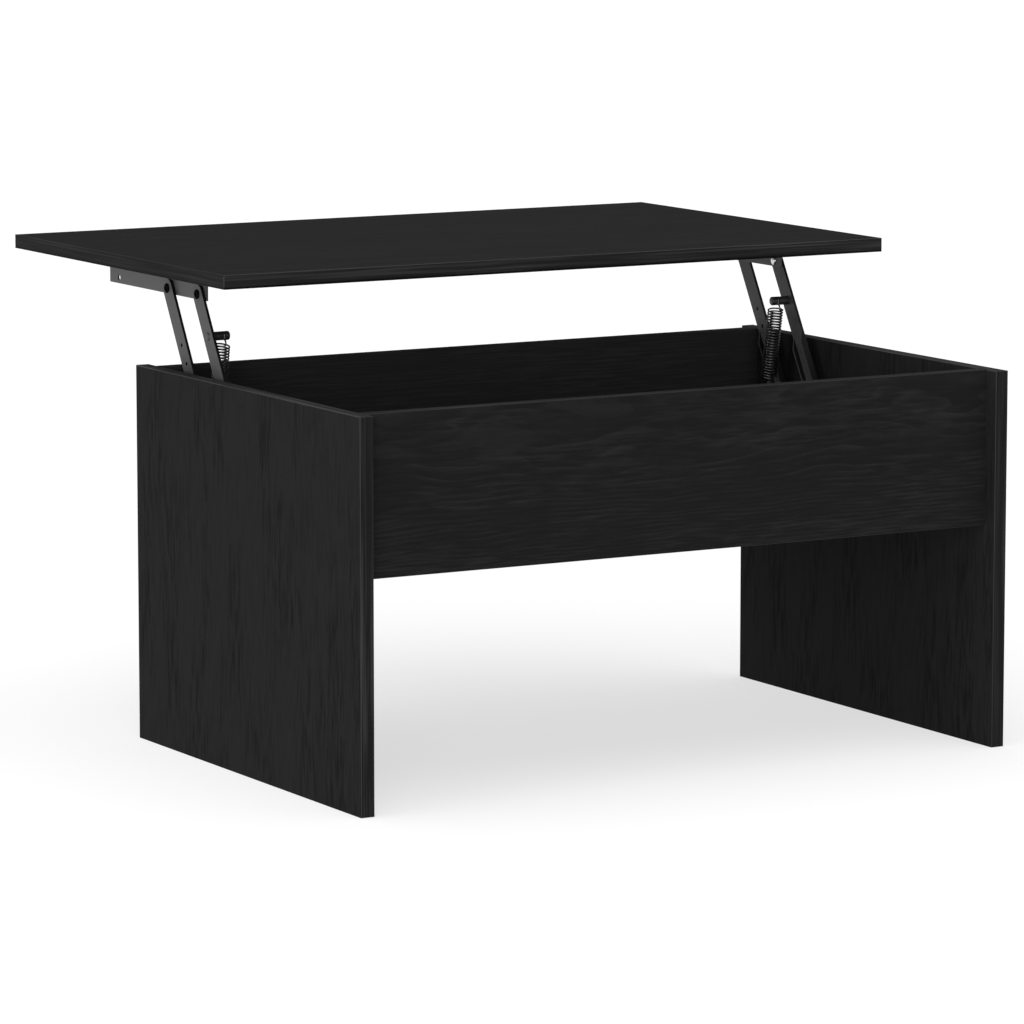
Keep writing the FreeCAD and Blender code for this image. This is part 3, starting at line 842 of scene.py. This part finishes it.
def spring_shape(length):
    """The wire along Z from the post's eye at zero to the anchor's eye at the given length."""
    shape = bmesh.new()
    bmesh.ops.create_circle(shape, segments=WIRE_SIDES, radius=WIRE_R)
    bmesh.ops.translate(shape, verts=shape.verts, vec=(EYE_R, 0, 0))
    loop = math.radians(EYE_ANGLE)
    bmesh.ops.rotate(shape, verts=shape.verts, cent=(0, 0, 0), matrix=Matrix.Rotation(loop, 3, "Y"))
    end = list(shape.edges)

    def swing(end, centre, axis, angle, steps, rise=0.0):
        lift = (0, 0, rise / steps)
        made = bmesh.ops.spin(shape, geom=end, cent=centre, axis=axis, angle=angle, steps=steps,
                              dvec=lift, use_merge=False)
        return [item for item in made["geom_last"] if isinstance(item, bmesh.types.BMEdge)]

    def straight(end, distance):
        made = bmesh.ops.extrude_edge_only(shape, edges=end)["geom"]
        moved = [item for item in made if isinstance(item, bmesh.types.BMVert)]
        bmesh.ops.translate(shape, verts=moved, vec=(0, 0, distance))
        return [item for item in made if isinstance(item, bmesh.types.BMEdge)
                and all(v in moved for v in item.verts)]

    shank = math.hypot(COIL_R, TURN_IN)
    aside = shank - EYE_R
    sway = math.acos(1 - aside / (2 * OFFSET_BEND))
    drop = 2 * OFFSET_BEND * math.sin(sway)
    lead = math.atan2(TURN_IN, COIL_R)
    first, last = COIL_FROM + WIRE_R, COIL_TO - WIRE_R
    end = swing(end, (0, 0, 0), (0, -1, 0), loop, EYE_STEPS)
    end = swing(end, (EYE_R + OFFSET_BEND, 0, 0), (0, 1, 0), sway, BEND_STEPS)
    end = swing(end, (shank - OFFSET_BEND, 0, drop), (0, -1, 0), sway, BEND_STEPS)
    end = straight(end, first - TURN_IN - drop)
    inward = Vector((-math.sin(lead), math.cos(lead), 0))
    centre = Vector((shank, 0, first - TURN_IN)) + inward * TURN_IN
    end = swing(end, centre, (-math.cos(lead), -math.sin(lead), 0), math.pi / 2, TURN_IN_STEPS)
    round_angle = 2 * math.pi * TURNS - 2 * lead
    end = swing(end, (0, 0, 0), (0, 0, 1), round_angle, TURNS * STEPS_A_TURN, last - first)
    centre = Vector((COIL_R * math.cos(lead), -COIL_R * math.sin(lead), last + TURN_IN))
    end = swing(end, centre, (math.cos(lead), -math.sin(lead), 0), math.pi / 2, TURN_IN_STEPS)
    end = straight(end, length - drop - last - TURN_IN)
    end = swing(end, (shank - OFFSET_BEND, 0, length - drop), (0, -1, 0), sway, BEND_STEPS)
    end = swing(end, (EYE_R + OFFSET_BEND, 0, length), (0, 1, 0), sway, BEND_STEPS)
    swing(end, (0, 0, length), (0, -1, 0), loop, EYE_STEPS)
    bmesh.ops.holes_fill(shape, edges=[edge for edge in shape.edges if edge.is_boundary],
                         sides=WIRE_SIDES)
    bmesh.ops.recalc_face_normals(shape, faces=shape.faces)
    return shape


for side, sign in SIDES:
    ends = [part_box(f"{side}_spring_{end}") for end in ("post", "anchor")]
    post, foot = [(low + high) / 2 for low, high in ends]
    post.x = foot.x = sign * SPRING_LINE
    down = (foot - post).normalized()
    across = Vector((sign, 0, 0))
    front = down.cross(across) * sign
    place = Matrix.Translation(post) @ Matrix((front, across, down)).transposed().to_4x4()
    shape = gather([spring_shape((foot - post).length)], [place])
    bmesh.ops.recalc_face_normals(shape, faces=shape.faces)
    piece = new_piece(shape, f"{side}_spring", [spring_wire], None, WIRE_CREASE)
    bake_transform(piece)
    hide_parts(f"{side}_spring_coil", f"{side}_spring_tail")


# ---- Tabletop ------------------------------------------------------------------------
# One 15 mm decorated board, a little larger than the box, with its grain along the table
# and the same 1 mm plastic on its four edges.

TOP_LOOK = {"Heart": -0.06, "Arches": 1.6, "Wander": 3.0, "Shift": 11.4, "Shorter": 1.0,
            "Rings": 0.3, "Streaks": 0.35, "Pores": 0.15}
coat("tabletop", oak_decor("tabletop_decor", "X", "Y", TOP_LOOK, 0.0153, 0.0232))
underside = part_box("tabletop")[0].z
# The long edges are painted brighter and the ends darker, as painted light and shade.
front_plastic = edging_plastic("long_upright_edging_plastic", "X", "Z", 1.3, underside)
end_plastic = edging_plastic("end_edging_plastic", "Y", "Z", 0.66, underside)
for edge, outward, plastic, round_ends in (
        ("front", (0, -1, 0), front_plastic, True), ("back", (0, 1, 0), front_plastic, True),
        ("left", (-1, 0, 0), end_plastic, False), ("right", (1, 0, 0), end_plastic, False)):
    edging(f"tabletop_{edge}_edge_band", f"tabletop_{edge}_edging", outward, plastic, "top",
           round_ends)


# ---- Rails under the top -------------------------------------------------------------
# A folded steel angle on each side hangs inside the arms and is screwed up into the top.

RAIL_SCREW_X = 342.6 * MM
RAIL_SCREWS_FROM_END = (23.0 * MM, 115.0 * MM, 207.0 * MM)
powder_coat = powder("dark_powder_coat", STEEL_TONES, 0.35)
for side, sign in SIDES:
    coat(f"{side}_top_rail", powder_coat)
    soften(f"{side}_top_rail", FINE_EDGE)
    low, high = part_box(f"{side}_top_rail")
    seat = high.z - CHANNEL_SHEET
    places = [aim((0, 0, -1), (sign * RAIL_SCREW_X, low.y + run, seat))
              for run in RAIL_SCREWS_FROM_END]
    shape = gather([screw_shape(SCREW_LONG) for place in places], places)
    piece = new_piece(shape, f"{side}_rail_pan_screws", [screw_plate], "top",
                      FINE_CREASE)
    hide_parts(f"{side}_rail_screws")
